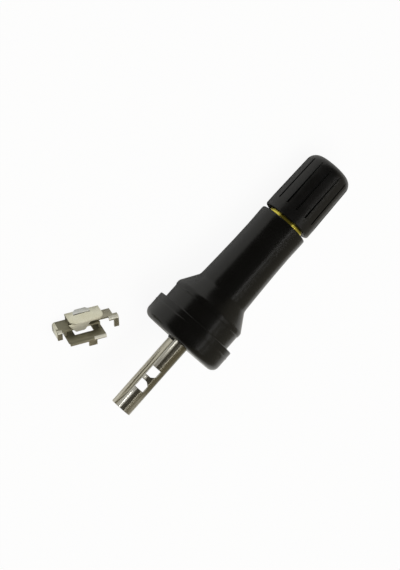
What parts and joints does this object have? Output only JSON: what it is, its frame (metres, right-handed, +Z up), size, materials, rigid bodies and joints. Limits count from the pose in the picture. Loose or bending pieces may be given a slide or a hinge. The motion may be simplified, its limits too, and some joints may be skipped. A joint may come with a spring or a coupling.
{
  "type": "snap-in valve stem for a tyre pressure sensor",
  "caption": "Rubber snap-in tyre valve stem that carries a pressure sensor: ribbed screw cap, spring valve core, windowed sensor tube, and its folded retaining clip lying beside it.",
  "frame": {"origin": "on the floor, under the middle of the whole box of the lying valve and its clip", "axes": "+X from the cap towards the sensor tube, +Z up, the clip lies on the -Y side; the valve's axis lies in the XZ plane's direction and drops towards the cap"},
  "size_m": [0.0646, 0.0275, 0.019],
  "materials": {
    "rubber_black": "satin moulded rubber",
    "brass": "turned",
    "plated_steel": "nickel plated, drawn and rolled",
    "cap_plastic": "satin moulded",
    "seal_rubber": "matte",
    "gasket_ptfe": "smooth",
    "pin_steel": "turned",
    "clip_steel": "rolled spring sheet, satin"
  },
  "bodies": {
    "valve": {"rubber_body": "rubber_black", "brass_stem": "brass", "sensor_tube": "plated_steel", "core_plug": "brass", "core_barrel": "brass", "core_gasket": "gasket_ptfe", "core_spring": "pin_steel", "retaining_clip": "clip_steel"},
    "cap_seal": {"cap_seal": "seal_rubber"},
    "cap_shell": {"cap_shell": "cap_plastic"},
    "valve_pin": {"core_pin": "pin_steel", "core_cup": "brass", "core_cup_seal": "seal_rubber"}
  },
  "joints": [
    {"name": "cap_lift", "type": "slide", "parent": "valve", "child": "cap_seal", "axis": [-0.9947, 0, -0.1028], "range_m": [0, 0.012]},
    {"name": "cap_turn", "type": "hinge", "parent": "cap_seal", "child": "cap_shell", "pos_m": [-0.01744, 0.00442, 0.00641], "axis": [-0.9947, 0, -0.1028], "range_deg": [0, 5445]},
    {"name": "pin_press", "type": "slide", "parent": "valve", "child": "valve_pin", "axis": [0.9947, 0, 0.1028], "range_m": [0, 0.0012], "stiffness_N_per_m": 900, "deforming": ["core_spring"]}
  ],
  "couplings": [
    {"joint": "cap_turn", "follows": "cap_lift", "rad_per_m": 7913.3}
  ]
}
